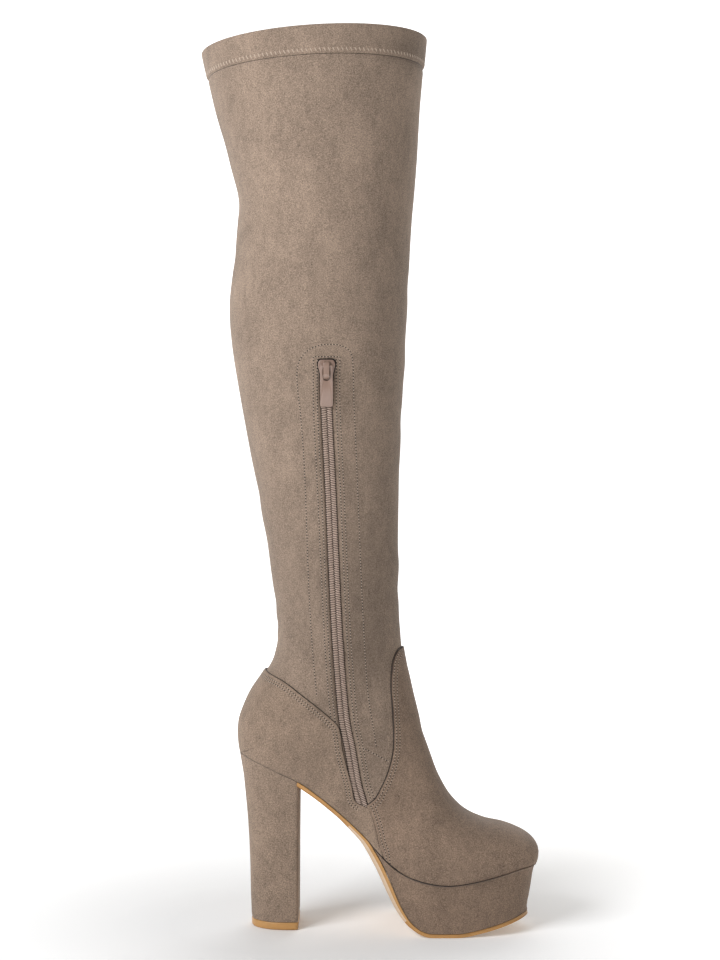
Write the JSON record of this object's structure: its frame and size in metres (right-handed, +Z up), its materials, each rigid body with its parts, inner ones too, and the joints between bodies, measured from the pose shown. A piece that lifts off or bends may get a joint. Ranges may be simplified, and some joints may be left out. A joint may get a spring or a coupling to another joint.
{
  "type": "thigh high boot",
  "caption": "Left thigh high boot in suede finish with a hollow shaft, inner side zip, covered platform and tall covered block heel.",
  "frame": {"origin": "middle of the heel's wearing face, on the floor", "axes": "+Z up, +X to the toe, +Y to the outer (left) side"},
  "size_m": [0.2589, 0.1326, 0.6796],
  "materials": {
    "suede": "napped faux suede",
    "outsole": "satin",
    "top_piece": "matt",
    "insole": "matt",
    "zip_tape": "woven",
    "zip_metal": "lacquered"
  },
  "bodies": {
    "boot": {"upper": "suede", "vamp": "suede", "counter": "suede", "platform": "suede", "outsole": "outsole", "heel": "suede", "heel_top_piece": "top_piece", "insole": "insole", "zip_tape": "zip_tape", "zip_chain": "zip_tape", "zip_slider": "zip_metal"},
    "zip_pull": {"zip_pull": "zip_metal"}
  },
  "joints": [
    {"name": "zip_pull_swing", "type": "hinge", "parent": "boot", "child": "zip_pull", "pos_m": [0.04039, -0.0573, 0.42549], "axis": [-1, 0, 0], "range_deg": [0, 160]}
  ]
}
